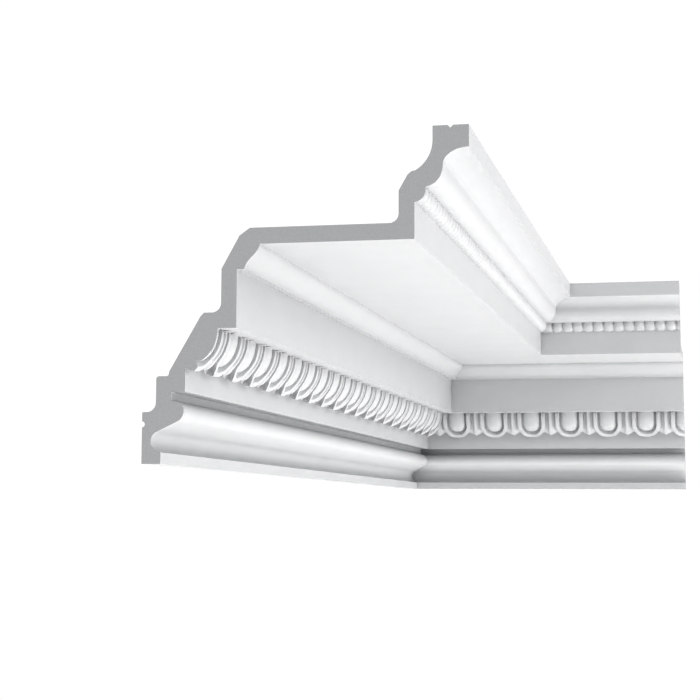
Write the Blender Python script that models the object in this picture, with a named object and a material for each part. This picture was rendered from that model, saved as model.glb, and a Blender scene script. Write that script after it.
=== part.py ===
"""Inside corner of a ceiling cornice: two mitred lengths of one moulding.

The section is drawn in millimetres, as distance from the wall and height above the foot.
Each length is that section drawn along its wall, carved with an egg and dart band below the
frieze and a row of beads below the top cyma, mitred at the corner and cut square at its end.
The model is in metres with +Z up, +Y along the long length towards the corner, and the origin
at the middle of the bounding box's floor.
"""
import math

import bmesh
import bpy
from mathutils import Matrix, Vector

MM = 0.001

# Driving dimensions, in millimetres
PROJECTION = 280.0
HEIGHT = 280.0
LONG_LENGTH = 1230.3
SHORT_LENGTH = 428.0
MITRE_GAP = 0.3
SPARE = 20.0

# How closely cuts, welds and flat stretches are judged, in millimetres and degrees
ON_PLANE = 1e-6
WELD = 1e-5
FLAT_ANGLE = 0.5
SHARP_ANGLE = 40.0

# Foot, hollow and roll
FOOT_DEPTH = 16.8
FOOT_HEIGHT = 9.7
HOLLOW_CENTRE = (17.0, 19.0)
HOLLOW_RADIUS = 9.2
ROLL_CENTRE = (27.0, 44.7)
ROLL_RADIUS = 9.8
ROLL_RISE = 8.4
S_SLOPE = 26.0
ROLL_FILLET = 25.5
LOWER_FASCIA = 37.6
LOWER_FASCIA_FOOT = 60.8
HOLLOW_STEPS = 7
ROLL_STEPS = 4

# Egg and dart band, on an ovolo between the lower fascia and the shelf under the frieze.
# The crests, edges and roots are heights out of the ovolo, so those below zero are sunk.
BAND_FOOT = 80.6
BAND_TOP = 114.4
OVOLO_REACH = 28.7
CARVING_DEPTH = 5.5
EGG_PITCH = 57.2
FIRST_EGG = 86.3
EGG_HALF_WIDTH = 12.4
EGG_ROUND = 14.6
EGG_SHOULDER = 26.7
EGG_ROOT = -7.6
FRAME_INNER = 14.4
FRAME_OUTER = 20.3
FRAME_INNER_ROUND = 16.0
FRAME_OUTER_ROUND = 22.0
FRAME_CREST = -0.9
CARVING_ROOT = -8.0
DART_HALF_WIDTH = 7.4
DART_CREST = -1.2
DART_EDGE = -5.6
DART_TIP = 2.4
DART_BARB = 20.0
BAND_RUN_ON = 1.5
BAND_STEPS = 4
FRAME_STEPS = 5
EGG_SEGMENTS = 12
EGG_RINGS = 4

# Frieze, small cyma and soffit
FRIEZE = 82.0
FRIEZE_TOP = 164.3
STEP = 88.6
SOFFIT_EDGE = 101.8
SOFFIT_HEIGHT = 185.4
SMALL_CYMA_STEPS = 6

# Upper fascia, beads and top cyma
UPPER_FASCIA = 234.4
BEAD_REACH = 9.4
BEAD_HEIGHT = 12.9
BEAD_TOP = 229.3
BEAD_HALF_LENGTH = 10.0
BEADS_PER_EGG = 4
BEAD_SHOULDER = 3.0
BEAD_ROOT = 3.0
BEAD_STEPS = 3
CYMA_BELLY_REACH = 14.4
CYMA_SHOULDER = 247.0
TIP_FILLET_FOOT = 261.2
TOP_CYMA_STEPS = 6

# Grooves for adhesive in the faces that meet the ceiling and the wall
CEILING_GROOVE = 264.5
CEILING_GROOVE_HALF = 2.4
CEILING_GROOVE_DEPTH = 2.4
WALL_GROOVE = 33.5
WALL_GROOVE_RADIUS = 2.5
WALL_GROOVE_STEPS = 4

# Back of the moulding, from the ceiling down to the wall face
CEILING_LAND = 249.6
TOP_SWEEP_CENTRE = (220.8, 268.0)
TOP_SWEEP_RADIUS = 28.8
TOP_SWEEP_END = -60.0
TOP_SWEEP_STEPS = 4
TOP_LEDGE = (231.8, 242.3)
TOP_LEDGE_EDGE = (228.4, 239.5)
FASCIA_BACK = 221.1
FASCIA_BACK_TOP = 226.5
SOFFIT_BACK = 199.3
SOFFIT_BACK_EDGE = 93.0
SHOULDER_FOOT = (84.0, 193.0)
FRIEZE_BACK = 68.5
FRIEZE_BACK_TOP = 165.0
BAND_LEDGE = 127.8
BAND_LEDGE_EDGE = 53.5
BAND_SLANT_TOP = (50.4, 124.7)
BAND_SLANT_FOOT = (23.5, 78.4)
LOWER_LEDGE = 74.3
LOWER_LEDGE_INNER = 23.1
LOWER_LEDGE_FILLET = 2.0
LOWER_LEDGE_ROUND = 2.5
LOWER_LEDGE_STEPS = 2
LOWER_BACK = 12.0
WALL_LAND_TOP = 43.9
BACK_FILLET = 8.0
BACK_FILLET_STEPS = 3

WHITE = (0.86, 0.86, 0.855, 1.0)
ROUGHNESS = 0.6


def arc(centre, radii, start, end, steps):
    """Points on an ellipse from one angle to another, in degrees."""
    points = []
    for step in range(steps + 1):
        angle = math.radians(start + (end - start) * step / steps)
        across = centre[0] + radii[0] * math.cos(angle)
        points.append((across, centre[1] + radii[1] * math.sin(angle)))
    return points


def hollow_and_roll():
    """The S from the foot's top edge, in round the hollow and out over the roll to its fillet."""
    hollow = arc(HOLLOW_CENTRE, (HOLLOW_RADIUS, HOLLOW_RADIUS), 270.0, 90.0 + S_SLOPE, HOLLOW_STEPS)
    fillet_angle = math.degrees(math.acos((ROLL_FILLET - ROLL_CENTRE[0]) / ROLL_RADIUS))
    roll = arc(ROLL_CENTRE, (ROLL_RADIUS, ROLL_RADIUS), S_SLOPE - 90.0, 0.0, ROLL_STEPS)
    flatter = arc(ROLL_CENTRE, (ROLL_RADIUS, ROLL_RISE), 0.0, fillet_angle, ROLL_STEPS)
    return hollow + roll + flatter[1:]


def small_cyma():
    """The reversed curve above the frieze, upright at both ends."""
    points = []
    for step in range(SMALL_CYMA_STEPS + 1):
        share = step / SMALL_CYMA_STEPS
        reach = STEP + (SOFFIT_EDGE - STEP) * (1.0 - math.cos(math.pi * share)) / 2.0
        points.append((reach, FRIEZE_TOP + (SOFFIT_HEIGHT - FRIEZE_TOP) * share))
    return points


def top_cyma():
    """The convex belly over the beads and the hollow that carries it out to the tip."""
    start = UPPER_FASCIA + BEAD_REACH
    belly_radii = (CYMA_BELLY_REACH, CYMA_SHOULDER - BEAD_TOP)
    belly = arc((start, CYMA_SHOULDER), belly_radii, -90.0, 0.0, TOP_CYMA_STEPS)
    hollow_radii = (PROJECTION - start - CYMA_BELLY_REACH, TIP_FILLET_FOOT - CYMA_SHOULDER)
    hollow = arc((PROJECTION, CYMA_SHOULDER), hollow_radii, 180.0, 90.0, TOP_CYMA_STEPS)
    return belly + hollow[1:]


def band_stations():
    """Distance along the ovolo, point and outward normal at each facet line of the band."""
    rise = BAND_TOP - BAND_FOOT
    curve = arc((LOWER_FASCIA, BAND_TOP), (OVOLO_REACH, rise), -90.0, 0.0, BAND_STEPS)
    stations = []
    travelled = 0.0
    previous = Vector(curve[0])
    for point in map(Vector, curve):
        travelled += (point - previous).length
        previous = point
        across = (point.x - LOWER_FASCIA) / OVOLO_REACH ** 2
        up = (point.y - BAND_TOP) / rise ** 2
        stations.append((travelled, point, Vector((across, up)).normalized()))
    return stations


def band_ground():
    """The sunk ground behind the carving, from the lower fascia's edge up to the shelf."""
    stations = band_stations()
    sunk = [point - normal * CARVING_DEPTH for _, point, normal in stations[1:]]
    return [tuple(stations[0][1])] + [tuple(point) for point in sunk]


def room_side():
    """The face that the room sees, from the wall at the foot up to the tip."""
    points = [(0.0, 0.0), (FOOT_DEPTH, 0.0), (FOOT_DEPTH, FOOT_HEIGHT)]
    points += hollow_and_roll()
    points += [(ROLL_FILLET, LOWER_FASCIA_FOOT), (LOWER_FASCIA, LOWER_FASCIA_FOOT)]
    points += band_ground()
    points += [(FRIEZE, BAND_TOP), (FRIEZE, FRIEZE_TOP)]
    points += small_cyma()
    points += [(UPPER_FASCIA, SOFFIT_HEIGHT), (UPPER_FASCIA, BEAD_TOP)]
    points += top_cyma()
    points.append((PROJECTION, HEIGHT))
    return points


def back_fillet(across, up):
    """The rounded inner corner where an upright back face meets the ledge below it."""
    centre = (across - BACK_FILLET, up + BACK_FILLET)
    return arc(centre, (BACK_FILLET, BACK_FILLET), 0.0, -90.0, BACK_FILLET_STEPS)


def lower_ledge():
    """The small ledge behind the lower fascia, rounded in its corner and over its edge."""
    fillet = (LOWER_LEDGE_FILLET, LOWER_LEDGE_FILLET)
    corner = (LOWER_LEDGE_INNER - LOWER_LEDGE_FILLET, LOWER_LEDGE + LOWER_LEDGE_FILLET)
    rounding = (LOWER_LEDGE_ROUND, LOWER_LEDGE_ROUND)
    edge = (LOWER_BACK + LOWER_LEDGE_ROUND, LOWER_LEDGE - LOWER_LEDGE_ROUND)
    return (arc(corner, fillet, 0.0, -90.0, LOWER_LEDGE_STEPS)
            + arc(edge, rounding, 90.0, 180.0, LOWER_LEDGE_STEPS))


def back_side():
    """The hidden face, from the ceiling down to the wall, a wall's thickness behind the front."""
    points = [(CEILING_GROOVE + CEILING_GROOVE_HALF, HEIGHT),
              (CEILING_GROOVE, HEIGHT - CEILING_GROOVE_DEPTH),
              (CEILING_GROOVE - CEILING_GROOVE_HALF, HEIGHT),
              (CEILING_LAND, HEIGHT)]
    sweep_radii = (TOP_SWEEP_RADIUS, TOP_SWEEP_RADIUS)
    points += arc(TOP_SWEEP_CENTRE, sweep_radii, 0.0, TOP_SWEEP_END, TOP_SWEEP_STEPS)
    points += [TOP_LEDGE, TOP_LEDGE_EDGE, (FASCIA_BACK, FASCIA_BACK_TOP)]
    points += back_fillet(FASCIA_BACK, SOFFIT_BACK)
    points += [(SOFFIT_BACK_EDGE, SOFFIT_BACK), SHOULDER_FOOT, (FRIEZE_BACK, FRIEZE_BACK_TOP)]
    points += back_fillet(FRIEZE_BACK, BAND_LEDGE)
    points += [(BAND_LEDGE_EDGE, BAND_LEDGE), BAND_SLANT_TOP, BAND_SLANT_FOOT]
    points += lower_ledge()
    points += back_fillet(LOWER_BACK, WALL_LAND_TOP)
    points.append((0.0, WALL_LAND_TOP))
    groove_radii = (WALL_GROOVE_RADIUS, WALL_GROOVE_RADIUS)
    points += arc((0.0, WALL_GROOVE), groove_radii, 90.0, -90.0, WALL_GROOVE_STEPS)
    return points


def wrap_band(mesh, stations):
    """Lays flat work, drawn as along, up and out, on the curve of the band."""
    for vert in mesh.verts:
        along, up, out = vert.co
        index = 0
        while index < len(stations) - 2 and up > stations[index + 1][0]:
            index += 1
        low, high = stations[index], stations[index + 1]
        share = (up - low[0]) / (high[0] - low[0])
        place = low[1].lerp(high[1], share) + low[2].lerp(high[2], share) * out
        vert.co = (place.x, place.y, along)


def cut(mesh, point, normal, drop_front=False, drop_back=False):
    """Cuts a closed mesh on a plane, and closes it again where a side is dropped."""
    everything = mesh.verts[:] + mesh.edges[:] + mesh.faces[:]
    bmesh.ops.bisect_plane(mesh, geom=everything, dist=ON_PLANE, plane_co=point, plane_no=normal,
                           clear_outer=drop_front, clear_inner=drop_back)
    if drop_front or drop_back:
        open_edges = [edge for edge in mesh.edges if edge.is_boundary]
        bmesh.ops.holes_fill(mesh, edges=open_edges, sides=0)


def cut_at_stations(mesh, stations):
    """Divides flat work where the band's facets meet, so that each facet stays flat when wrapped."""
    for travelled, _, _ in stations[1:-1]:
        cut(mesh, (0.0, travelled, 0.0), (0.0, 1.0, 0.0))


def egg(band_length):
    """A dome with a round lower end, running up under the shelf."""
    mesh = bmesh.new()
    bmesh.ops.create_uvsphere(mesh, u_segments=EGG_SEGMENTS, v_segments=EGG_RINGS, radius=1.0)
    everything = mesh.verts[:] + mesh.edges[:] + mesh.faces[:]
    bmesh.ops.bisect_plane(mesh, geom=everything, dist=ON_PLANE, plane_co=(0, 0, 0),
                           plane_no=(0, 1, 0), clear_outer=True)
    bmesh.ops.scale(mesh, vec=(EGG_HALF_WIDTH, EGG_ROUND, -EGG_ROOT), verts=mesh.verts)
    rim = [edge for edge in mesh.edges if edge.is_boundary]
    grown = bmesh.ops.extrude_edge_only(mesh, edges=rim)["geom"]
    grown_verts = [item for item in grown if isinstance(item, bmesh.types.BMVert)]
    length = band_length + BAND_RUN_ON - EGG_SHOULDER
    bmesh.ops.translate(mesh, vec=(0, length, 0), verts=grown_verts)
    bmesh.ops.holes_fill(mesh, edges=[edge for edge in mesh.edges if edge.is_boundary], sides=0)
    cut(mesh, (0, 0, 0), (0, 0, 1), drop_back=True)
    bmesh.ops.translate(mesh, vec=(0, EGG_SHOULDER, EGG_ROOT), verts=mesh.verts)
    bmesh.ops.recalc_face_normals(mesh, faces=mesh.faces)
    return mesh


def frame(band_length):
    """The raised U around an egg, drawn flat as one outline."""
    top = band_length + BAND_RUN_ON
    middle = (0.0, EGG_SHOULDER)
    outer = arc(middle, (FRAME_OUTER, FRAME_OUTER_ROUND), 180.0, 360.0, FRAME_STEPS)
    inner = arc(middle, (FRAME_INNER, FRAME_INNER_ROUND), 360.0, 180.0, FRAME_STEPS)
    outline = [(-FRAME_OUTER, top)] + outer + [(FRAME_OUTER, top), (FRAME_INNER, top)] + inner
    outline.append((-FRAME_INNER, top))
    return prism(outline, CARVING_ROOT, FRAME_CREST)


def dart(band_length):
    """The ridge between two frames, sloping to both sides and pointed at its lower end."""
    mesh = bmesh.new()
    top = band_length + BAND_RUN_ON
    size = (2.0 * DART_HALF_WIDTH, top - DART_TIP, DART_CREST - CARVING_ROOT)
    middle = (0.0, (top + DART_TIP) / 2.0, (DART_CREST + CARVING_ROOT) / 2.0)
    bmesh.ops.create_cube(mesh, size=1.0)
    bmesh.ops.scale(mesh, vec=size, verts=mesh.verts)
    bmesh.ops.translate(mesh, vec=middle, verts=mesh.verts)
    for side in (-1.0, 1.0):
        slope = (side * (DART_CREST - DART_EDGE), 0.0, DART_HALF_WIDTH)
        cut(mesh, (0.0, 0.0, DART_CREST), slope, drop_front=True)
        barb = (side * (DART_BARB - DART_TIP), -DART_HALF_WIDTH, 0.0)
        cut(mesh, (0.0, DART_TIP, 0.0), barb, drop_front=True)
    return mesh


def prism(outline, low, high):
    """A flat outline between two levels, from a filled curve."""
    curve = bpy.data.curves.new("outline", "CURVE")
    curve.dimensions = "2D"
    curve.fill_mode = "BOTH"
    curve.extrude = (high - low) / 2.0
    spline = curve.splines.new("POLY")
    spline.points.add(len(outline) - 1)
    for point, (across, up) in zip(spline.points, outline):
        point.co = (across, up, 0.0, 1.0)
    spline.use_cyclic_u = True
    holder = bpy.data.objects.new("outline", curve)
    bpy.context.scene.collection.objects.link(holder)
    graph = bpy.context.evaluated_depsgraph_get()
    data = bpy.data.meshes.new_from_object(holder.evaluated_get(graph))
    mesh = bmesh.new()
    mesh.from_mesh(data)
    bpy.data.objects.remove(holder)
    bpy.data.curves.remove(curve)
    bpy.data.meshes.remove(data)
    bmesh.ops.remove_doubles(mesh, verts=mesh.verts, dist=WELD)
    bmesh.ops.dissolve_limit(mesh, angle_limit=math.radians(FLAT_ANGLE), verts=mesh.verts,
                             edges=mesh.edges)
    bmesh.ops.translate(mesh, vec=(0.0, 0.0, (high + low) / 2.0), verts=mesh.verts)
    bmesh.ops.recalc_face_normals(mesh, faces=mesh.faces)
    return mesh


def wrapped_copy(flat, stations):
    """Turns flat work into a mesh that lies on the band."""
    cut_at_stations(flat, stations)
    wrap_band(flat, stations)
    bmesh.ops.recalc_face_normals(flat, faces=flat.faces)
    data = bpy.data.meshes.new("carving")
    flat.to_mesh(data)
    flat.free()
    return data


def add_copy(mesh, data, along):
    """Adds a carved piece to the work, moved along the run."""
    before = set(mesh.verts)
    mesh.from_mesh(data)
    fresh = [vert for vert in mesh.verts if vert not in before]
    bmesh.ops.translate(mesh, vec=(0.0, 0.0, along), verts=fresh)


def bead_section(along, share):
    """One cross-section of the beads, shrunk towards the corner between fascia and top cyma."""
    radii = (BEAD_REACH * share, BEAD_HEIGHT * share)
    root, top = UPPER_FASCIA - BEAD_ROOT, BEAD_TOP + BAND_RUN_ON
    points = [(root, BEAD_TOP - radii[1])]
    points += arc((UPPER_FASCIA, BEAD_TOP), radii, -90.0, 0.0, BEAD_STEPS)
    points += [(UPPER_FASCIA + radii[0], top), (root, top)]
    return [(across, up, along) for across, up in points]


def add_beads(mesh, run_length):
    """A row of touching beads, lofted through sections that swell and pinch."""
    pitch = EGG_PITCH / BEADS_PER_EGG
    first = int((UPPER_FASCIA - FIRST_EGG) // pitch)
    last = int((run_length - FIRST_EGG) // pitch) + 1
    rings = []
    for number in range(first, last + 1):
        centre = FIRST_EGG + number * pitch
        for offset in (-pitch / 2.0, -BEAD_SHOULDER, BEAD_SHOULDER):
            share = math.sqrt(1.0 - (offset / BEAD_HALF_LENGTH) ** 2)
            rings.append([mesh.verts.new(place) for place in bead_section(centre + offset, share)])
    for ring, following in zip(rings, rings[1:]):
        for index in range(len(ring)):
            after = (index + 1) % len(ring)
            mesh.faces.new((ring[index], ring[after], following[after], following[index]))
    mesh.faces.new(reversed(rings[0]))
    mesh.faces.new(rings[-1])


def object_from(mesh, name, collection):
    """Stores finished geometry as an object."""
    data = bpy.data.meshes.new(name)
    mesh.to_mesh(data)
    mesh.free()
    holder = bpy.data.objects.new(name, data)
    collection.objects.link(holder)
    return holder


def carvings(run_length, cutters, name):
    """The carved work of one run: eggs in their frames, the darts between them and the beads."""
    stations = band_stations()
    band_length = stations[-1][0]
    egg_data = wrapped_copy(egg(band_length), stations)
    frame_data = wrapped_copy(frame(band_length), stations)
    dart_data = wrapped_copy(dart(band_length), stations)
    mesh = bmesh.new()
    centre = FIRST_EGG
    while centre < run_length + FRAME_OUTER:
        add_copy(mesh, egg_data, centre)
        add_copy(mesh, frame_data, centre)
        add_copy(mesh, dart_data, centre - EGG_PITCH / 2.0)
        centre += EGG_PITCH
    add_beads(mesh, run_length)
    bmesh.ops.recalc_face_normals(mesh, faces=mesh.faces)
    carving = object_from(mesh, name + "_carving", cutters)
    carving.hide_render = True
    carving.display_type = "WIRE"
    return carving


def run_solid(run_length, cutters, name):
    """One carved length in the section's own frame: across, up, and along from the corner."""
    plain = prism(room_side() + back_side(), -SPARE, run_length + SPARE)
    holder = object_from(plain, name + "_plain", cutters)
    union = holder.modifiers.new("carved", "BOOLEAN")
    union.operation = "UNION"
    union.solver = "EXACT"
    union.object = carvings(run_length, cutters, name)
    graph = bpy.context.evaluated_depsgraph_get()
    data = bpy.data.meshes.new_from_object(holder.evaluated_get(graph))
    bpy.data.objects.remove(holder)
    mesh = bmesh.new()
    mesh.from_mesh(data)
    bpy.data.meshes.remove(data)
    setback = MITRE_GAP / math.sqrt(2.0)
    cut(mesh, (0.0, 0.0, setback), (-1.0, 0.0, 1.0), drop_back=True)
    cut(mesh, (0.0, 0.0, run_length), (0.0, 0.0, 1.0), drop_front=True)
    return mesh


def moulding_material(name):
    """White primer on hard foam, matt."""
    material = bpy.data.materials.new(name)
    material.use_nodes = True
    shader = material.node_tree.nodes["Principled BSDF"]
    shader.inputs["Base Color"].default_value = WHITE
    shader.inputs["Roughness"].default_value = ROUGHNESS
    shader.inputs["Metallic"].default_value = 0.0
    material.diffuse_color = WHITE
    return material


def place(mesh, axes, flip):
    """Turns a length from the section's frame to its wall, in metres about the shared origin."""
    middle = Vector((SHORT_LENGTH / 2.0, LONG_LENGTH / 2.0, 0.0))
    turn = Matrix((axes[0], axes[1], axes[2])).to_4x4()
    shift = Matrix.Translation((Vector((0.0, LONG_LENGTH, 0.0)) - middle) * MM)
    bmesh.ops.transform(mesh, matrix=shift @ Matrix.Scale(MM, 4) @ turn, verts=mesh.verts)
    if flip:
        bmesh.ops.reverse_faces(mesh, faces=mesh.faces)


def main():
    for old in list(bpy.data.objects):
        bpy.data.objects.remove(old)
    moulding = bpy.data.collections.new("cornice_moulding")
    cutters = bpy.data.collections.new("cutters")
    bpy.context.scene.collection.children.link(moulding)
    bpy.context.scene.collection.children.link(cutters)

    long_run = run_solid(LONG_LENGTH, cutters, "long_length")
    place(long_run, ((1, 0, 0), (0, 0, -1), (0, 1, 0)), flip=False)
    short_run = run_solid(SHORT_LENGTH, cutters, "short_length")
    place(short_run, ((0, 0, 1), (-1, 0, 0), (0, 1, 0)), flip=True)
    for name, mesh in (("long_length", long_run), ("short_length", short_run)):
        length = object_from(mesh, name, moulding)
        length.data.shade_smooth()
        length.data.set_sharp_from_angle(angle=math.radians(SHARP_ANGLE))
        length.data.materials.append(moulding_material(name + "_white_primer"))


main()
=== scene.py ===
"""Dresses an inside corner of a carved ceiling cornice: two mitred lengths of one moulding.

Both lengths are made the same way. Half a repeat of the moulding is modelled once, with its egg,
frame, dart and beads, then mirrored, repeated along the wall, mitred at the corner and sawn
square at its end.
"""
import math

import bmesh
import bpy
from mathutils import Matrix, Vector


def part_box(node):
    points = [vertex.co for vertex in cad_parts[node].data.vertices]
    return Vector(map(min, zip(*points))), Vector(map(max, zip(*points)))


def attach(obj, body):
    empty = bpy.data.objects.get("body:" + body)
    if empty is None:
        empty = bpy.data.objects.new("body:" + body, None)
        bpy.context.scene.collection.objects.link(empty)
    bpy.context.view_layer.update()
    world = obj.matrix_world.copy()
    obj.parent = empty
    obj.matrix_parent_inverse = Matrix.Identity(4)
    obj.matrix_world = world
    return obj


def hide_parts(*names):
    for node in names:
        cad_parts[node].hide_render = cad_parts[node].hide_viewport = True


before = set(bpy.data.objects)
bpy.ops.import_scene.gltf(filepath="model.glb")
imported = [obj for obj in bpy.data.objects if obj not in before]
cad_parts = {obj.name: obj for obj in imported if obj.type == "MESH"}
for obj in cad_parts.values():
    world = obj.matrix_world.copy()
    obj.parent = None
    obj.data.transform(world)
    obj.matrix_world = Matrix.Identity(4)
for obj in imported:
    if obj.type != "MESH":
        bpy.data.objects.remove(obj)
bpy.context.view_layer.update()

bl_info = {
    "name": "Carved Cornice Corner",
    "version": (1, 0, 0),
    "blender": (4, 5, 0),
    "location": "3D View > Sidebar > Cornice",
    "description": "Builds two mitred lengths of an egg and dart cornice, with studio and camera",
    "category": "Object",
}

MM = 0.001

# Which of a piece's materials its sawn faces get
CORE_INDEX = 1

# Where the walls, the cut ends and the corner lie, from the frame
LONG_LOW, LONG_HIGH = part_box("long_length")
SHORT_LOW, SHORT_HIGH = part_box("short_length")
CORNER = Vector((LONG_LOW.x, SHORT_HIGH.y, 0.0))
LONG_RUN = (CORNER.y - LONG_LOW.y) / MM
SHORT_RUN = (SHORT_HIGH.x - CORNER.x) / MM

# Mirrors a length from the left wall, along Y, to the back wall, along X
TO_BACK_WALL = Matrix(((0, -1, 0, 0), (-1, 0, 0, 0), (0, 0, 1, 0), (0, 0, 0, 1)))

# How closely cuts and welds are judged, in metres
WELD = 1e-5

# Gap between the two lengths at the mitre, in millimetres
MITRE_GAP = 0.02

# In degrees: edges sharper than the first are softened, and edges below the second look smooth
SHARP_ANGLE = 30.0
SMOOTH_ANGLE = 50.0

# Foot, hollow, roll and lower fascia, in millimetres from the wall and above the foot
FOOT_DEPTH = 16.8
FOOT_HEIGHT = 9.7
HOLLOW_CENTRE = (17.0, 19.0)
HOLLOW_RADIUS = 9.2
ROLL_CENTRE = (27.0, 44.7)
ROLL_RADIUS = 9.8
ROLL_RISE = 8.4
S_SLOPE = 26.0
ROLL_FILLET = 25.5
LOWER_FASCIA = 37.6
LOWER_FASCIA_FOOT = 60.8

# How far a plain face runs before the grid of the carving or the beads takes over
FLAT_START = 2.0

# How many steps the hollow has, and each of the roll's two arcs
HOLLOW_STEPS = 16
ROLL_STEPS = 9

# Ovolo that carries the egg and dart band, in steps fine enough to measure distances along it
BAND_FOOT = 80.6
BAND_TOP = 114.4
OVOLO_REACH = 28.7
OVOLO_STEPS = 240

# Egg: a dome with a round low end, its heights out of the ovolo
EGG_HALF_WIDTH = 12.8
EGG_SHOULDER = 28.4
EGG_LOW = 13.2
EGG_CREST = -0.6
EGG_DOME = 5.4
EGG_LOW_CREST = -1.1
EGG_LOW_DOME = 2.4
EGG_SHARES = (0.0, 0.3, 0.56, 0.76, 0.9, 0.975, 1.0)

# Frame: the raised U round the egg, which leans out at its low end
FRAME_INNER = 15.0
FRAME_OUTER = 21.0
FRAME_LOW_INNER = 10.9
FRAME_LOW_OUTER = 6.8
FRAME_CREST = -0.9
FRAME_LOW_CREST = (1.2, 3.8)
FRAME_ARRIS = 0.5
LEAN_START = 0.35

# Groove round the egg: its edges, and how far from egg to frame each lies at the low end
GROOVE_INNER = 13.2
GROOVE_OUTER = 14.7
GROOVE_LOW_SHARES = (0.2, 0.85)
GROOVE_FLOOR = -6.2
GROOVE_LOW_FLOOR = -4.0

# Ground between the frames
GROUND = -5.5

# Dart: a shaft between two flutes, over a broad arrow head whose lower edge is a proud V
DART_CREST = -1.2
DART_CREST_SHARE = 0.76
DART_TIP = (6.7, 0.8)
DART_FOOT = 5.4
DART_BARB = -2.8
DART_SIDE = -2.9
FLUTE_START = 21.3
FLUTE_RUN_OUT = 1.6
FLUTE_POWER = 2.6
DART_SHARES = (0.2, 0.4, 0.55, 0.66, 0.76, 0.88, 1.0)

# How much sooner than at the egg's shoulder the arrow head is down at the shaft's height
DART_HASTE = 1.3

# How many columns the carving has round the low end and up the legs
ARC_COLUMNS = 16
LEG_COLUMNS = 6

# Columns at the corner of the half repeat, at the dart's foot and at its tip
CORNER_COLUMN = 7
FOOT_COLUMN = 8
TIP_COLUMN = 9

# Frieze, small cyma and soffit
FRIEZE = 82.0
FRIEZE_TOP = 164.3
STEP = 88.6
SOFFIT_EDGE = 101.8
SOFFIT_HEIGHT = 185.4
SMALL_CYMA_STEPS = 16

# Upper fascia, beads and top cyma
UPPER_FASCIA = 234.4
BEAD_REACH = 9.3
BEAD_DROP = 9.6
BEAD_WIDEST = 226.1
BEAD_TOP = 229.3
BEAD_HALF_LENGTH = (10.0, 7.9)
BEAD_SQUARENESS = 2.6
BEADS_PER_EGG = 4
BEAD_COLUMNS = 10
BEAD_ROWS = 8
CYMA_START = 243.8
CYMA_BELLY_REACH = 14.4
CYMA_SHOULDER = 247.0
TIP_FILLET_FOOT = 261.2
TOP_CYMA_STEPS = 14

# Grooves for adhesive in the faces that meet the ceiling and the wall
CEILING_GROOVE = 264.5
CEILING_GROOVE_HALF = 2.4
CEILING_GROOVE_DEPTH = 2.4
WALL_GROOVE = 33.5
WALL_GROOVE_RADIUS = 2.5
WALL_GROOVE_STEPS = 8

# Back of the moulding, from the ceiling down to the wall face
CEILING_LAND = 249.6
TOP_SWEEP_CENTRE = (220.8, 268.0)
TOP_SWEEP_RADIUS = 28.8
TOP_SWEEP_END = -60.0
TOP_SWEEP_STEPS = 12
TOP_LEDGE = (231.8, 242.3)
TOP_LEDGE_EDGE = (228.4, 239.5)
FASCIA_BACK = 221.1
FASCIA_BACK_TOP = 226.5
SOFFIT_BACK = 199.3
SOFFIT_BACK_EDGE = 93.0
SHOULDER_FOOT = (84.0, 193.0)
FRIEZE_BACK = 68.5
FRIEZE_BACK_TOP = 165.0
BAND_LEDGE = 127.8
BAND_LEDGE_EDGE = 53.5
BAND_SLANT_TOP = (50.4, 124.7)
BAND_SLANT_FOOT = (23.5, 78.4)
LOWER_LEDGE = 74.3
LOWER_LEDGE_INNER = 23.1
LOWER_LEDGE_FILLET = 2.0
LOWER_LEDGE_ROUND = 2.5
LOWER_LEDGE_STEPS = 5
LOWER_BACK = 12.0
WALL_LAND_TOP = 43.9
BACK_FILLET = 8.0
BACK_FILLET_STEPS = 8

# Sprayed primer: the size of its clouds, how dark its thin places are, and its skin, in metres
PRIMER_CLOUD = 0.045
PRIMER_THIN = 0.965
PRIMER_SKIN = 0.0022
PRIMER_SKIN_DEPTH = 0.0003
PRIMER_SKIN_STRENGTH = 0.08
PRIMER_ROUGHNESS = 0.55
PRIMER_IOR = 1.46

# Sawn foam: how dark the painted shade in its cells' hollows is against their walls, and how deep
# the cells are, in metres
FOAM_CELL_PAINTED_SHADE = 0.93
FOAM_CELL_DEPTH = 0.0003
FOAM_CELL_STRENGTH = 0.2
FOAM_ROUGHNESS = 0.9
FOAM_IOR = 1.5

# Floor paper: grains to a metre, and how deep its tooth is, in metres
PAPER_GRAIN = 60.0
PAPER_TOOTH_DEPTH = 0.001
PAPER_TOOTH_STRENGTH = 0.05
PAPER_ROUGHNESS = 0.95

# Camera: where it stands, in metres from the corner of the walls at the foot, how it is turned,
# in degrees, and how near and far it sees
IMAGE_WIDTH = 700.0
SENSOR_WIDTH = 36.0
FOCAL_PIXELS = 1642.2
CAMERA_PLACE = (0.4765, -2.5505, -0.0428)
CAMERA_YAW = 12.641
CAMERA_PITCH = 5.77
CAMERA_ROLL = 0.318
CAMERA_NEAR = 0.05
CAMERA_FAR = 200.0

# Studio: floor and soft lights, each with its place, what it faces and its width, in metres
LAMP_WHITE = (1.0, 0.98, 0.96)
FLOOR_LEVEL = -1.5
FLOOR_RADIUS = 7.5
FLOOR_SIDES = 96
UNDER_LIGHT = ((0.8, -0.8, -1.45), (0.8, -0.8, 0.1), 5.0)
SIDE_LIGHT = ((1.6, 0.4, -1.45), (0.4, 0.4, 0.1), 2.0)
KEY_LIGHT = ((1.2, -1.21, -1.39), (0.1, 0.1, 0.15), 0.7)
HIGH_LIGHT = ((2.4, -0.5, 0.9), (0.1, 0.1, 0.15), 0.7)


def linear(text):
    """Turns an sRGB hex colour into linear red, green, blue and alpha."""
    channels = [int(text[start:start + 2], 16) / 255.0 for start in (1, 3, 5)]
    curve = [c / 12.92 if c <= 0.04045 else ((c + 0.055) / 1.055) ** 2.4 for c in channels]
    return (curve[0], curve[1], curve[2], 1.0)


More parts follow.
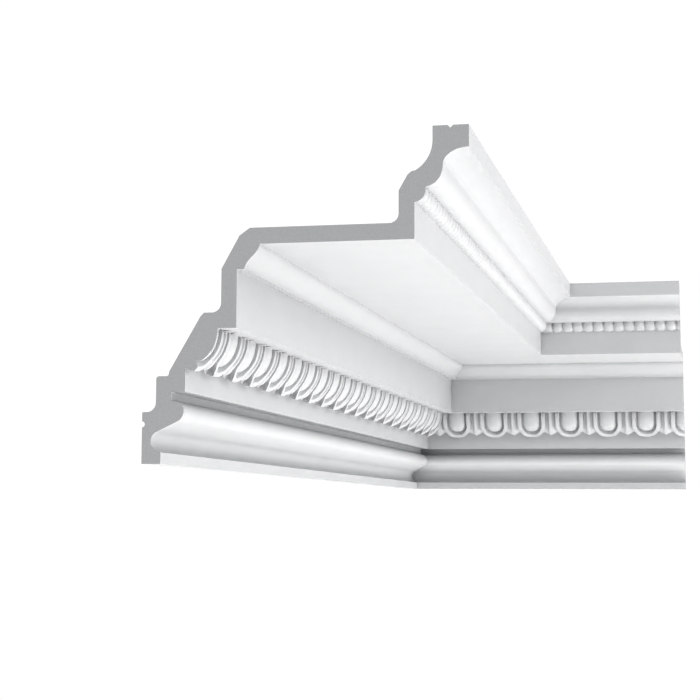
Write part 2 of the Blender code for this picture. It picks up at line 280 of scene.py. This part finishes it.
class CorniceSizes(bpy.types.PropertyGroup):
    """Sizes that a user would change."""

    pitch: bpy.props.FloatProperty(
        name="Egg pitch", description="Distance from one egg to the next",
        default=0.0572, min=0.045, max=0.08, unit="LENGTH")
    first_egg: bpy.props.FloatProperty(
        name="First egg", description="Distance from the corner of the walls to the first whole egg",
        default=0.0863, min=0.0, max=0.2, unit="LENGTH")
    arris: bpy.props.FloatProperty(
        name="Arris", description="Width of the softened edges of the plain members",
        default=0.0001, min=0.0, max=0.002, unit="LENGTH")
    pore: bpy.props.FloatProperty(
        name="Pore size", description="Size of the cells that the sawn ends show",
        default=0.0012, min=0.0003, max=0.005, unit="LENGTH")


class CorniceFinish(bpy.types.PropertyGroup):
    """Colours and light that a user would change."""

    primer: bpy.props.FloatVectorProperty(
        name="Primer", description="Colour of the white primer on the moulded faces",
        subtype="COLOR", size=4, min=0.0, max=1.0, default=linear("#D3D4D5"))
    core: bpy.props.FloatVectorProperty(
        name="Core", description="Colour of the bare foam on the sawn ends",
        subtype="COLOR", size=4, min=0.0, max=1.0, default=linear("#CBCCCD"))
    floor: bpy.props.FloatVectorProperty(
        name="Floor", description="Colour of the studio floor",
        subtype="COLOR", size=4, min=0.0, max=1.0, default=linear("#F4F4F4"))
    under_power: bpy.props.FloatProperty(
        name="Light from below", description="Power of the wide soft light under the soffit",
        default=40.0, min=0.0, unit="POWER")
    side_power: bpy.props.FloatProperty(
        name="Light from the side", description="Power of the soft light low down at the right",
        default=27.0, min=0.0, unit="POWER")
    key_power: bpy.props.FloatProperty(
        name="Key light", description="Power of the small light low down in front",
        default=5.0, min=0.0, unit="POWER")
    high_power: bpy.props.FloatProperty(
        name="Light from above", description="Power of the small light high up at the right",
        default=8.0, min=0.0, unit="POWER")
    room_light: bpy.props.FloatProperty(
        name="Room light", description="Strength of the even white light from all round",
        default=1.02, min=0.0, max=5.0)
    tone_curve: bpy.props.FloatProperty(
        name="Tone curve", description="Gamma of the print: lower is darker in the shadows",
        default=0.45, min=0.2, max=1.0)


def arc(centre, radii, start, end, steps):
    """Points on an ellipse from one angle to another, in degrees."""
    points = []
    for step in range(steps + 1):
        angle = math.radians(start + (end - start) * step / steps)
        across = centre[0] + radii[0] * math.cos(angle)
        points.append((across, centre[1] + radii[1] * math.sin(angle)))
    return points


def mix(first, second, share):
    """The value between two others."""
    return first + (second - first) * share


def ease(share):
    """A share from 0 to 1, slow at both ends and held beyond them."""
    share = min(1.0, max(0.0, share))
    return share * share * (3.0 - 2.0 * share)


def hollow_and_roll():
    """The S from the foot's top edge, in round the hollow and out over the roll to its fillet."""
    hollow_radii = (HOLLOW_RADIUS, HOLLOW_RADIUS)
    hollow = arc(HOLLOW_CENTRE, hollow_radii, 270.0, 90.0 + S_SLOPE, HOLLOW_STEPS)
    fillet_angle = math.degrees(math.acos((ROLL_FILLET - ROLL_CENTRE[0]) / ROLL_RADIUS))
    roll = arc(ROLL_CENTRE, (ROLL_RADIUS, ROLL_RADIUS), S_SLOPE - 90.0, 0.0, ROLL_STEPS)
    flatter = arc(ROLL_CENTRE, (ROLL_RADIUS, ROLL_RISE), 0.0, fillet_angle, ROLL_STEPS)
    return hollow + roll + flatter[1:]


def small_cyma():
    """The reversed curve above the frieze, upright at both ends."""
    points = []
    for step in range(SMALL_CYMA_STEPS + 1):
        share = step / SMALL_CYMA_STEPS
        reach = mix(STEP, SOFFIT_EDGE, (1.0 - math.cos(math.pi * share)) / 2.0)
        points.append((reach, mix(FRIEZE_TOP, SOFFIT_HEIGHT, share)))
    return points


def top_cyma():
    """The convex belly over the beads and the hollow that carries it out to the tip."""
    belly_radii = (CYMA_BELLY_REACH, CYMA_SHOULDER - BEAD_TOP)
    belly = arc((CYMA_START, CYMA_SHOULDER), belly_radii, -90.0, 0.0, TOP_CYMA_STEPS)
    tip = (LONG_HIGH.x - CORNER.x) / MM
    hollow_radii = (tip - CYMA_START - CYMA_BELLY_REACH, TIP_FILLET_FOOT - CYMA_SHOULDER)
    hollow = arc((tip, CYMA_SHOULDER), hollow_radii, 180.0, 90.0, TOP_CYMA_STEPS)
    return belly + hollow[1:]


def back_fillet(across, up):
    """The rounded inner corner where an upright back face meets the ledge below it."""
    centre = (across - BACK_FILLET, up + BACK_FILLET)
    return arc(centre, (BACK_FILLET, BACK_FILLET), 0.0, -90.0, BACK_FILLET_STEPS)


def lower_ledge():
    """The small ledge behind the lower fascia, rounded in its corner and over its edge."""
    fillet = (LOWER_LEDGE_FILLET, LOWER_LEDGE_FILLET)
    corner = (LOWER_LEDGE_INNER - LOWER_LEDGE_FILLET, LOWER_LEDGE + LOWER_LEDGE_FILLET)
    rounding = (LOWER_LEDGE_ROUND, LOWER_LEDGE_ROUND)
    edge = (LOWER_BACK + LOWER_LEDGE_ROUND, LOWER_LEDGE - LOWER_LEDGE_ROUND)
    return (arc(corner, fillet, 0.0, -90.0, LOWER_LEDGE_STEPS)
            + arc(edge, rounding, 90.0, 180.0, LOWER_LEDGE_STEPS))


def back_side(top):
    """The hidden face, from the ceiling down to the wall, a wall's thickness behind the front."""
    points = [(CEILING_GROOVE + CEILING_GROOVE_HALF, top),
              (CEILING_GROOVE, top - CEILING_GROOVE_DEPTH),
              (CEILING_GROOVE - CEILING_GROOVE_HALF, top),
              (CEILING_LAND, top)]
    sweep_radii = (TOP_SWEEP_RADIUS, TOP_SWEEP_RADIUS)
    points += arc(TOP_SWEEP_CENTRE, sweep_radii, 0.0, TOP_SWEEP_END, TOP_SWEEP_STEPS)
    points += [TOP_LEDGE, TOP_LEDGE_EDGE, (FASCIA_BACK, FASCIA_BACK_TOP)]
    points += back_fillet(FASCIA_BACK, SOFFIT_BACK)
    points += [(SOFFIT_BACK_EDGE, SOFFIT_BACK), SHOULDER_FOOT, (FRIEZE_BACK, FRIEZE_BACK_TOP)]
    points += back_fillet(FRIEZE_BACK, BAND_LEDGE)
    points += [(BAND_LEDGE_EDGE, BAND_LEDGE), BAND_SLANT_TOP, BAND_SLANT_FOOT]
    points += lower_ledge()
    points += back_fillet(LOWER_BACK, WALL_LAND_TOP)
    points.append((0.0, WALL_LAND_TOP))
    groove_radii = (WALL_GROOVE_RADIUS, WALL_GROOVE_RADIUS)
    points += arc((0.0, WALL_GROOVE), groove_radii, 90.0, -90.0, WALL_GROOVE_STEPS)
    return points


def outer_outline():
    """From the top cyma out to the tip, down the back and round the foot to the lower fascia."""
    tip = (LONG_HIGH.x - CORNER.x) / MM
    top = LONG_HIGH.z / MM
    points = top_cyma() + [(tip, top)] + back_side(top)
    points += [(0.0, 0.0), (FOOT_DEPTH, 0.0), (FOOT_DEPTH, FOOT_HEIGHT)]
    points += hollow_and_roll()
    points += [(ROLL_FILLET, LOWER_FASCIA_FOOT), (LOWER_FASCIA, LOWER_FASCIA_FOOT)]
    points.append((LOWER_FASCIA, LOWER_FASCIA_FOOT + FLAT_START))
    return points


def middle_outline():
    """From the shelf over the band up the frieze and along the soffit to the upper fascia."""
    points = [(FRIEZE - FLAT_START, BAND_TOP), (FRIEZE, BAND_TOP), (FRIEZE, FRIEZE_TOP)]
    points += small_cyma()
    points += [(UPPER_FASCIA, SOFFIT_HEIGHT), (UPPER_FASCIA, SOFFIT_HEIGHT + FLAT_START)]
    return points


def ovolo_stations():
    """Distance travelled along the ovolo, with the point and the outward normal there."""
    rise = BAND_TOP - BAND_FOOT
    centre = (LOWER_FASCIA, BAND_TOP)
    stations = []
    travelled = 0.0
    previous = Vector((LOWER_FASCIA, BAND_FOOT))
    for place in arc(centre, (OVOLO_REACH, rise), -90.0, 0.0, OVOLO_STEPS):
        point = Vector(place)
        travelled += (point - previous).length
        previous = point
        across = (point.x - centre[0]) / OVOLO_REACH ** 2
        up = (point.y - centre[1]) / rise ** 2
        stations.append((travelled, point, Vector((across, up)).normalized()))
    return stations


def on_ovolo(stations, up, out):
    """The place, from the wall and above the foot, at a distance up the ovolo and out of it."""
    index = min(int(up / stations[-1][0] * OVOLO_STEPS), OVOLO_STEPS - 1)
    while index > 0 and stations[index][0] > up:
        index -= 1
    while index < OVOLO_STEPS - 1 and stations[index + 1][0] < up:
        index += 1
    low, high = stations[index], stations[index + 1]
    share = (up - low[0]) / (high[0] - low[0])
    return low[1].lerp(high[1], share) + low[2].lerp(high[2], share) * out


def carving_rings():
    """Half width, low end, and heights on the legs and at the low end, from egg to frame."""
    rings = []
    for share in EGG_SHARES:
        sink = 1.0 - math.sqrt(1.0 - share * share)
        low = mix(EGG_SHOULDER, EGG_LOW, share)
        leg_height = EGG_CREST - EGG_DOME * sink
        rings.append((EGG_HALF_WIDTH * share, low, leg_height, EGG_LOW_CREST - EGG_LOW_DOME * sink))
    for half_width, share in zip((GROOVE_INNER, GROOVE_OUTER), GROOVE_LOW_SHARES):
        low = mix(EGG_LOW, FRAME_LOW_INNER, share)
        rings.append((half_width, low, GROOVE_FLOOR, GROOVE_LOW_FLOOR))
    width = FRAME_OUTER - FRAME_INNER
    corner = FRAME_ARRIS * (1.0 - math.sqrt(0.5))
    rounding = [(0.0, FRAME_ARRIS), (corner, corner), (FRAME_ARRIS, 0.0)]
    crest = rounding + [(width - inset, drop) for inset, drop in reversed(rounding)]
    for inset, drop in crest:
        share = inset / width
        low = mix(FRAME_LOW_INNER, FRAME_LOW_OUTER, share)
        low_height = mix(*FRAME_LOW_CREST, share) - drop
        rings.append((FRAME_INNER + inset, low, FRAME_CREST - drop, low_height))
    return rings


def ring_point(ring, column, leg_top):
    """Along, up and out of one point of a ring round the egg."""
    half_width, low, leg_height, low_height = ring
    if column > ARC_COLUMNS:
        up = mix(EGG_SHOULDER, leg_top, (column - ARC_COLUMNS) / LEG_COLUMNS)
        return Vector((half_width, up, leg_height))
    angle = math.radians(90.0 * column / ARC_COLUMNS)
    lean = ease((math.cos(angle) - LEAN_START) / (1.0 - LEAN_START))
    up = EGG_SHOULDER - (EGG_SHOULDER - low) * math.cos(angle)
    return Vector((half_width * math.sin(angle), up, mix(leg_height, low_height, lean)))


def frame_foot(column, leg_top):
    """Where the frame's outer wall meets the ground, or the fascia's edge under the frame."""
    ring = (FRAME_OUTER, FRAME_LOW_OUTER, GROUND, GROUND)
    foot = ring_point(ring, column, leg_top)
    opened = ease(column / (CORNER_COLUMN / 2.0))
    return Vector((foot.x, foot.y * opened, foot.z * opened))


def border_point(column, leg_top, half_pitch):
    """The border of the half repeat: the fascia's edge, then the dart's middle line."""
    if column <= CORNER_COLUMN:
        opened = ease(column / (CORNER_COLUMN / 2.0))
        return Vector((half_pitch * column / CORNER_COLUMN, 0.0, GROUND * opened))
    if column > ARC_COLUMNS:
        up = mix(EGG_SHOULDER, leg_top, (column - ARC_COLUMNS) / LEG_COLUMNS)
        return Vector((half_pitch, up, DART_CREST))
    if column == FOOT_COLUMN:
        return Vector((half_pitch, DART_FOOT, GROUND))
    share = (column - TIP_COLUMN) / (ARC_COLUMNS - TIP_COLUMN)
    up = mix(DART_TIP[0], EGG_SHOULDER, share)
    height = mix(DART_TIP[1], DART_CREST, ease(DART_HASTE * share))
    return Vector((half_pitch, up, height))


def dart_points(column, leg_top, half_pitch):
    """From the frame's foot across to the dart's middle: the ground, the head or the shaft."""
    foot = frame_foot(column, leg_top)
    border = border_point(column, leg_top, half_pitch)
    side = foot.copy()
    if column == TIP_COLUMN:
        side.z = DART_BARB
    elif column > TIP_COLUMN:
        side.z = mix(DART_SIDE, GROUND, ease((foot.y - FLUTE_START) / FLUTE_RUN_OUT))
    points = [foot, side]
    for share in DART_SHARES:
        place = side.lerp(border, share)
        if column > TIP_COLUMN:
            cove = min(1.0, share / DART_CREST_SHARE) ** FLUTE_POWER
            place.z = mix(side.z, border.z, cove)
        points.append(place)
    return points


def ground_border(column):
    """The fascia's own edge, level with the ovolo, under the open ground."""
    return column <= CORNER_COLUMN


def band_points(half_pitch):
    """Every point of the half repeat of the band, column by column, as wall, along and height."""
    stations = ovolo_stations()
    leg_top = stations[-1][0]
    rings = carving_rings()
    columns = []
    for column in range(ARC_COLUMNS + LEG_COLUMNS + 1):
        flat = [ring_point(ring, column, leg_top) for ring in rings]
        flat += dart_points(column, leg_top, half_pitch)
        last = flat[-1].copy()
        if ground_border(column):
            last.z = 0.0
        flat.append(last)
        points = []
        for along, up, out in flat:
            place = on_ovolo(stations, up, out)
            points.append((place.x, along, place.y))
        nearest = 0.0 if column < CORNER_COLUMN / 2.0 else half_pitch
        fascia = (LOWER_FASCIA, nearest, LOWER_FASCIA_FOOT + FLAT_START)
        points.append(fascia if ground_border(column) else points[-1])
        columns.append(points)
    shelf = []
    for _, along, _ in columns[-1]:
        nearest = 0.0 if along < half_pitch / 2.0 else half_pitch
        shelf.append((FRIEZE - FLAT_START, nearest, BAND_TOP))
    columns.append(shelf)
    return columns


def bead_points(half_pitch):
    """Every point of the half repeat of the beads, column by column, as wall, along and height."""
    bead_pitch = 2.0 * half_pitch / BEADS_PER_EGG
    count = BEAD_COLUMNS * BEADS_PER_EGG // 2
    columns = []
    for column in range(count + 1):
        along = half_pitch * column / count
        offset = (along + bead_pitch / 2.0) % bead_pitch - bead_pitch / 2.0
        nearest = 0.0 if column < count / 2.0 else half_pitch
        points = [(UPPER_FASCIA, nearest, SOFFIT_HEIGHT + FLAT_START)]
        rows = arc((0.0, 0.0), (BEAD_REACH, BEAD_DROP), -90.0, 0.0, BEAD_ROWS)
        rows.append((BEAD_REACH, BEAD_TOP - BEAD_WIDEST))
        for row, (reach, up) in enumerate(rows):
            half_length = mix(*BEAD_HALF_LENGTH, row / len(rows))
            square = (abs(offset) / half_length) ** BEAD_SQUARENESS
            share = (1.0 - square) ** (1.0 / BEAD_SQUARENESS)
            height = BEAD_WIDEST + (up * share if up < 0.0 else up)
            points.append((UPPER_FASCIA + reach * share, along, height))
        points.append((CYMA_START, nearest, BEAD_TOP))
        columns.append(points)
    return columns


def pick(test):
    """Selects the edited mesh's points that pass a test, and nothing else."""
    bpy.ops.mesh.select_all(action="DESELECT")
    mesh = bmesh.from_edit_mesh(bpy.context.object.data)
    for vert in mesh.verts:
        vert.select = test(vert.co)
    mesh.select_flush_mode()
    bmesh.update_edit_mesh(bpy.context.object.data)


def start_piece(name):
    """Adds a small plane to shape, as a new object in edit mode."""
    if bpy.context.object and bpy.context.object.mode == "EDIT":
        bpy.ops.object.mode_set(mode="OBJECT")
    bpy.ops.object.select_all(action="DESELECT")
    bpy.ops.mesh.primitive_plane_add(size=MM)
    piece = bpy.context.object
    piece.name = name
    piece.data.name = name
    bpy.ops.object.mode_set(mode="EDIT")
    bpy.ops.mesh.select_mode(type="VERT")
    return piece


def draw_outline(outline):
    """Draws an open outline from a single point, one extruded edge after another."""
    bpy.ops.mesh.select_all(action="DESELECT")
    bpy.ops.mesh.primitive_plane_add(size=MM)
    bpy.ops.mesh.merge(type="CENTER")
    bpy.ops.transform.translate(value=(outline[0][0] * MM, 0.0, outline[0][1] * MM))
    for start, end in zip(outline, outline[1:]):
        step = ((end[0] - start[0]) * MM, 0.0, (end[1] - start[1]) * MM)
        bpy.ops.mesh.extrude_vertices_move(TRANSFORM_OT_translate={"value": step})


def add_grid(columns):
    """Adds a grid and moves its points to the carving's, which are given column by column."""
    bpy.ops.mesh.select_all(action="DESELECT")
    across, along = len(columns) - 1, len(columns[0]) - 1
    bpy.ops.mesh.primitive_grid_add(x_subdivisions=across, y_subdivisions=along, size=2.0)
    mesh = bmesh.from_edit_mesh(bpy.context.object.data)
    for vert in mesh.verts:
        if vert.select:
            column = round((vert.co.x + 1.0) / 2.0 * across)
            row = round((vert.co.y + 1.0) / 2.0 * along)
            vert.co = Vector(columns[column][row]) * MM
    bmesh.update_edit_mesh(bpy.context.object.data)


def model_half_repeat(name, half_pitch, arris):
    """Models half a repeat of the moulding, from the middle of an egg to the middle of a dart."""
    piece = start_piece(name)
    bpy.ops.mesh.delete(type="VERT")
    draw_outline(outer_outline())
    draw_outline(middle_outline())
    bpy.ops.mesh.select_all(action="SELECT")
    bpy.ops.mesh.extrude_edges_move(TRANSFORM_OT_translate={"value": (0.0, half_pitch * MM, 0.0)})
    bpy.ops.mesh.select_all(action="DESELECT")
    bpy.ops.mesh.select_mode(type="EDGE")
    bpy.ops.mesh.edges_select_sharp(sharpness=math.radians(SHARP_ANGLE))
    bpy.ops.mesh.bevel(offset=arris, segments=1, affect="EDGES")
    bpy.ops.mesh.select_mode(type="VERT")
    add_grid(band_points(half_pitch))
    add_grid(bead_points(half_pitch))
    bpy.ops.mesh.select_all(action="SELECT")
    bpy.ops.mesh.remove_doubles(threshold=WELD)
    bpy.ops.mesh.dissolve_degenerate(threshold=WELD)
    pick(lambda place: abs(place.y - half_pitch * MM) < WELD)
    bpy.ops.mesh.delete(type="ONLY_FACE")
    bpy.ops.mesh.select_all(action="SELECT")
    bpy.ops.mesh.delete_loose()
    bpy.ops.object.mode_set(mode="OBJECT")
    return piece


def apply_modifier(piece, kind, **settings):
    """Adds a modifier with its settings and applies it."""
    modifier = piece.modifiers.new(kind.title(), kind)
    for name, value in settings.items():
        setattr(modifier, name, value)
    bpy.context.view_layer.objects.active = piece
    bpy.ops.object.modifier_apply(modifier=modifier.name)


def repeat_along(piece, pitch, first, run):
    """Mirrors the half repeat and repeats it from behind the corner to past the cut end."""
    apply_modifier(piece, "MIRROR", use_axis=(False, True, False), use_mirror_merge=True,
                   merge_threshold=WELD)
    before = math.ceil((first + pitch / 2.0) / pitch)
    after = math.ceil((run - first + pitch / 2.0) / pitch)
    bpy.ops.object.mode_set(mode="EDIT")
    bpy.ops.mesh.select_all(action="SELECT")
    bpy.ops.transform.translate(value=(0.0, (before * pitch - first) * MM, 0.0))
    bpy.ops.object.mode_set(mode="OBJECT")
    apply_modifier(piece, "ARRAY", count=before + after, use_relative_offset=False,
                   use_constant_offset=True, constant_offset_displace=(0.0, -pitch * MM, 0.0),
                   use_merge_vertices=True, merge_threshold=WELD)


def saw(piece, place, normal):
    """Saws the piece through, drops what is beyond the cut and closes the sawn face."""
    bpy.ops.object.mode_set(mode="EDIT")
    bpy.ops.mesh.select_all(action="SELECT")
    bpy.ops.mesh.bisect(plane_co=place, plane_no=normal, clear_outer=True, threshold=WELD)
    pick(lambda point: abs((point - place).dot(normal)) < WELD)
    bpy.ops.mesh.edge_face_add()
    bpy.ops.mesh.mark_sharp()
    piece.active_material_index = CORE_INDEX
    bpy.ops.object.material_slot_assign()
    bpy.ops.object.mode_set(mode="OBJECT")


def finish_mesh(piece):
    """Turns the faces outwards and shades the curves smooth, with flat faces left flat."""
    bpy.ops.object.mode_set(mode="EDIT")
    bpy.ops.mesh.select_all(action="SELECT")
    bpy.ops.mesh.normals_make_consistent(inside=False)
    bpy.ops.mesh.select_all(action="DESELECT")
    bpy.ops.object.mode_set(mode="OBJECT")
    bpy.ops.object.select_all(action="DESELECT")
    piece.select_set(True)
    bpy.context.view_layer.objects.active = piece
    bpy.ops.object.shade_smooth_by_angle(angle=math.radians(SMOOTH_ANGLE))
    apply_modifier(piece, "WEIGHTED_NORMAL", mode="FACE_AREA", weight=100, keep_sharp=True)


def add_node(tree, kind, values, **settings):
    """Adds a node, with a value or a link for each input that is named."""
    made = tree.nodes.new(kind)
    for name, value in settings.items():
        setattr(made, name, value)
    for name, value in values.items():
        if isinstance(value, bpy.types.NodeSocket):
            tree.links.new(value, made.inputs[name])
        else:
            made.inputs[name].default_value = value
    return made


def start_material(name):
    """A new material, with its tree and its own surface shader."""
    material = bpy.data.materials.new(name)
    material.use_nodes = True
    shader = material.node_tree.nodes["Principled BSDF"]
    return material, material.node_tree, shader


def primer_material(colour):
    """Sprayed white primer on moulded polyurethane.

    It gives the eye an even matt white, with a faint cloudiness where the coat is thinner and a
    fine skin like orange peel that softens every highlight.
    """
    material, tree, shader = start_material("sprayed_white_primer")
    place = add_node(tree, "ShaderNodeTexCoord", {}).outputs["Object"]
    cloud = add_node(tree, "ShaderNodeTexNoise", {"Vector": place, "Scale": 1.0 / PRIMER_CLOUD,
                                                  "Detail": 3.0, "Roughness": 0.5})
    darker = [channel * PRIMER_THIN for channel in colour[:3]] + [1.0]
    tint = add_node(tree, "ShaderNodeMix", {"Factor": cloud.outputs["Fac"], "A": darker,
                                            "B": colour}, data_type="RGBA")
    skin = add_node(tree, "ShaderNodeTexNoise", {"Vector": place, "Scale": 1.0 / PRIMER_SKIN,
                                                 "Detail": 2.0, "Roughness": 0.6})
    bump = add_node(tree, "ShaderNodeBump", {"Height": skin.outputs["Fac"],
                                             "Strength": PRIMER_SKIN_STRENGTH,
                                             "Distance": PRIMER_SKIN_DEPTH})
    tree.links.new(tint.outputs["Result"], shader.inputs["Base Color"])
    tree.links.new(bump.outputs["Normal"], shader.inputs["Normal"])
    shader.inputs["Roughness"].default_value = PRIMER_ROUGHNESS
    shader.inputs["IOR"].default_value = PRIMER_IOR
    return material


def core_material(colour, pore):
    """Bare polyurethane foam where a saw cut it.

    It gives the eye a dull light grey with fine open cells, each painted darker towards its middle
    as shade in its hollow. The real cells are under half a millimetre, so they are drawn coarser
    here to show at all.
    """
    material, tree, shader = start_material("sawn_polyurethane_foam")
    place = add_node(tree, "ShaderNodeTexCoord", {}).outputs["Object"]
    cells = add_node(tree, "ShaderNodeTexVoronoi", {"Vector": place, "Scale": 1.0 / pore})
    # Painted shade: each cell is darker towards its middle, standing in for shade inside its hollow
    darker = [channel * FOAM_CELL_PAINTED_SHADE for channel in colour[:3]] + [1.0]
    tint = add_node(tree, "ShaderNodeMix", {"Factor": cells.outputs["Distance"], "A": darker,
                                            "B": colour}, data_type="RGBA")
    bump = add_node(tree, "ShaderNodeBump", {"Height": cells.outputs["Distance"],
                                             "Strength": FOAM_CELL_STRENGTH,
                                             "Distance": FOAM_CELL_DEPTH})
    tree.links.new(tint.outputs["Result"], shader.inputs["Base Color"])
    tree.links.new(bump.outputs["Normal"], shader.inputs["Normal"])
    shader.inputs["Roughness"].default_value = FOAM_ROUGHNESS
    shader.inputs["IOR"].default_value = FOAM_IOR
    return material


def floor_material(colour):
    """Matt paper on the studio floor, pale and plain, with a faint tooth."""
    material, tree, shader = start_material("studio_paper")
    place = add_node(tree, "ShaderNodeTexCoord", {}).outputs["Object"]
    tooth = add_node(tree, "ShaderNodeTexNoise", {"Vector": place, "Scale": PAPER_GRAIN,
                                                  "Detail": 2.0})
    bump = add_node(tree, "ShaderNodeBump", {"Height": tooth.outputs["Fac"],
                                             "Strength": PAPER_TOOTH_STRENGTH,
                                             "Distance": PAPER_TOOTH_DEPTH})
    tree.links.new(bump.outputs["Normal"], shader.inputs["Normal"])
    shader.inputs["Base Color"].default_value = colour
    shader.inputs["Roughness"].default_value = PAPER_ROUGHNESS
    return material


def build_length(name, run, node, turned):
    """Builds one mitred length against its wall, and lets it stand for its solid."""
    sizes = bpy.context.scene.cornice_sizes
    finish = bpy.context.scene.cornice_finish
    pitch = sizes.pitch / MM
    piece = model_half_repeat(name, pitch / 2.0, sizes.arris)
    repeat_along(piece, pitch, sizes.first_egg / MM, run)
    piece.data.materials.append(primer_material(finish.primer))
    piece.data.materials.append(core_material(finish.core, sizes.pore))
    setback = MITRE_GAP / math.sqrt(2.0) * MM
    mitre = (Vector((0.0, -setback, 0.0)), Vector((1.0, 1.0, 0.0)).normalized())
    end = (Vector((0.0, -run * MM, 0.0)), Vector((0.0, -1.0, 0.0)))
    for place, normal in (mitre, end):
        saw(piece, place, normal)
    if turned:
        piece.data.transform(TO_BACK_WALL)
    piece.data.transform(Matrix.Translation(CORNER))
    finish_mesh(piece)
    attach(piece, "root")
    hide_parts(node)


class CORNICE_OT_long_length(bpy.types.Operator):
    """Build the length that runs from the viewer to the corner"""

    bl_idname = "cornice.long_length"
    bl_label = "Long length"

    def execute(self, context):
        build_length("long_moulding", LONG_RUN, "long_length", turned=False)
        return {"FINISHED"}


class CORNICE_OT_short_length(bpy.types.Operator):
    """Build the length that runs from the corner to the right"""

    bl_idname = "cornice.short_length"
    bl_label = "Short length"

    def execute(self, context):
        build_length("short_moulding", SHORT_RUN, "short_length", turned=True)
        return {"FINISHED"}


def place_camera():
    """Puts the camera where the photograph was taken from, looking up at the soffit."""
    yaw, pitch, roll = map(math.radians, (CAMERA_YAW, CAMERA_PITCH, CAMERA_ROLL))
    level = Vector((math.cos(yaw), math.sin(yaw), 0.0))
    ahead = Vector((-math.sin(yaw) * math.cos(pitch), math.cos(yaw) * math.cos(pitch),
                    math.sin(pitch)))
    above = level.cross(ahead)
    right = level * math.cos(roll) + above * math.sin(roll)
    up = above * math.cos(roll) - level * math.sin(roll)
    camera = bpy.data.cameras.new("camera")
    camera.sensor_width = SENSOR_WIDTH
    camera.lens = FOCAL_PIXELS / IMAGE_WIDTH * SENSOR_WIDTH
    camera.clip_start = CAMERA_NEAR
    camera.clip_end = CAMERA_FAR
    holder = bpy.data.objects.new("camera", camera)
    bpy.context.scene.collection.objects.link(holder)
    holder.matrix_world = Matrix((right, up, -ahead)).transposed().to_4x4()
    holder.location = CORNER + Vector(CAMERA_PLACE)
    bpy.context.scene.camera = holder


def add_soft_light(name, place, target, size, power):
    """A large square light that faces a target and stays out of the picture."""
    light = bpy.data.lights.new(name, "AREA")
    light.shape = "SQUARE"
    light.size = size
    light.energy = power
    light.color = LAMP_WHITE
    holder = bpy.data.objects.new(name, light)
    bpy.context.scene.collection.objects.link(holder)
    holder.location = place
    holder.rotation_euler = (Vector(target) - Vector(place)).to_track_quat("-Z", "Y").to_euler()
    holder.visible_camera = False


def light_room(strength):
    """Even white light from all round, which is also the plain background."""
    world = bpy.data.worlds.new("studio")
    bpy.context.scene.world = world
    world.use_nodes = True
    glow = world.node_tree.nodes["Background"]
    glow.inputs["Color"].default_value = (1.0, 1.0, 1.0, 1.0)
    glow.inputs["Strength"].default_value = strength


class CORNICE_OT_stage(bpy.types.Operator):
    """Build the floor, the lights and the camera"""

    bl_idname = "cornice.stage"
    bl_label = "Studio"

    def execute(self, context):
        finish = context.scene.cornice_finish
        if bpy.context.object and bpy.context.object.mode == "EDIT":
            bpy.ops.object.mode_set(mode="OBJECT")
        bpy.ops.object.select_all(action="DESELECT")
        bpy.ops.mesh.primitive_circle_add(vertices=FLOOR_SIDES, radius=FLOOR_RADIUS,
                                          fill_type="NGON", location=(0.0, 0.0, FLOOR_LEVEL))
        floor = context.object
        floor.name = "studio_floor"
        floor.data.materials.append(floor_material(finish.floor))
        add_soft_light("under_light", *UNDER_LIGHT, finish.under_power)
        add_soft_light("side_light", *SIDE_LIGHT, finish.side_power)
        add_soft_light("key_light", *KEY_LIGHT, finish.key_power)
        add_soft_light("high_light", *HIGH_LIGHT, finish.high_power)
        light_room(finish.room_light)
        place_camera()
        context.scene.view_settings.view_transform = "Standard"
        context.scene.view_settings.gamma = finish.tone_curve
        return {"FINISHED"}


class CORNICE_PT_sidebar(bpy.types.Panel):
    """Lists the sizes, the finish and the pieces of the cornice"""

    bl_label = "Cornice"
    bl_space_type = "VIEW_3D"
    bl_region_type = "UI"
    bl_category = "Cornice"

    def draw(self, context):
        for group in (context.scene.cornice_sizes, context.scene.cornice_finish):
            box = self.layout.box()
            for name in group.__annotations__:
                box.prop(group, name)
        for operator in PIECES:
            self.layout.operator(operator.bl_idname)


PIECES = (CORNICE_OT_stage, CORNICE_OT_long_length, CORNICE_OT_short_length)
CLASSES = (CorniceSizes, CorniceFinish) + PIECES + (CORNICE_PT_sidebar,)


def register():
    for entry in CLASSES:
        bpy.utils.register_class(entry)
    bpy.types.Scene.cornice_sizes = bpy.props.PointerProperty(type=CorniceSizes)
    bpy.types.Scene.cornice_finish = bpy.props.PointerProperty(type=CorniceFinish)


def unregister():
    del bpy.types.Scene.cornice_finish
    del bpy.types.Scene.cornice_sizes
    for entry in reversed(CLASSES):
        bpy.utils.unregister_class(entry)


def main():
    register()
    bpy.ops.cornice.stage()
    bpy.ops.cornice.long_length()
    bpy.ops.cornice.short_length()


if __name__ == "__main__":
    main()
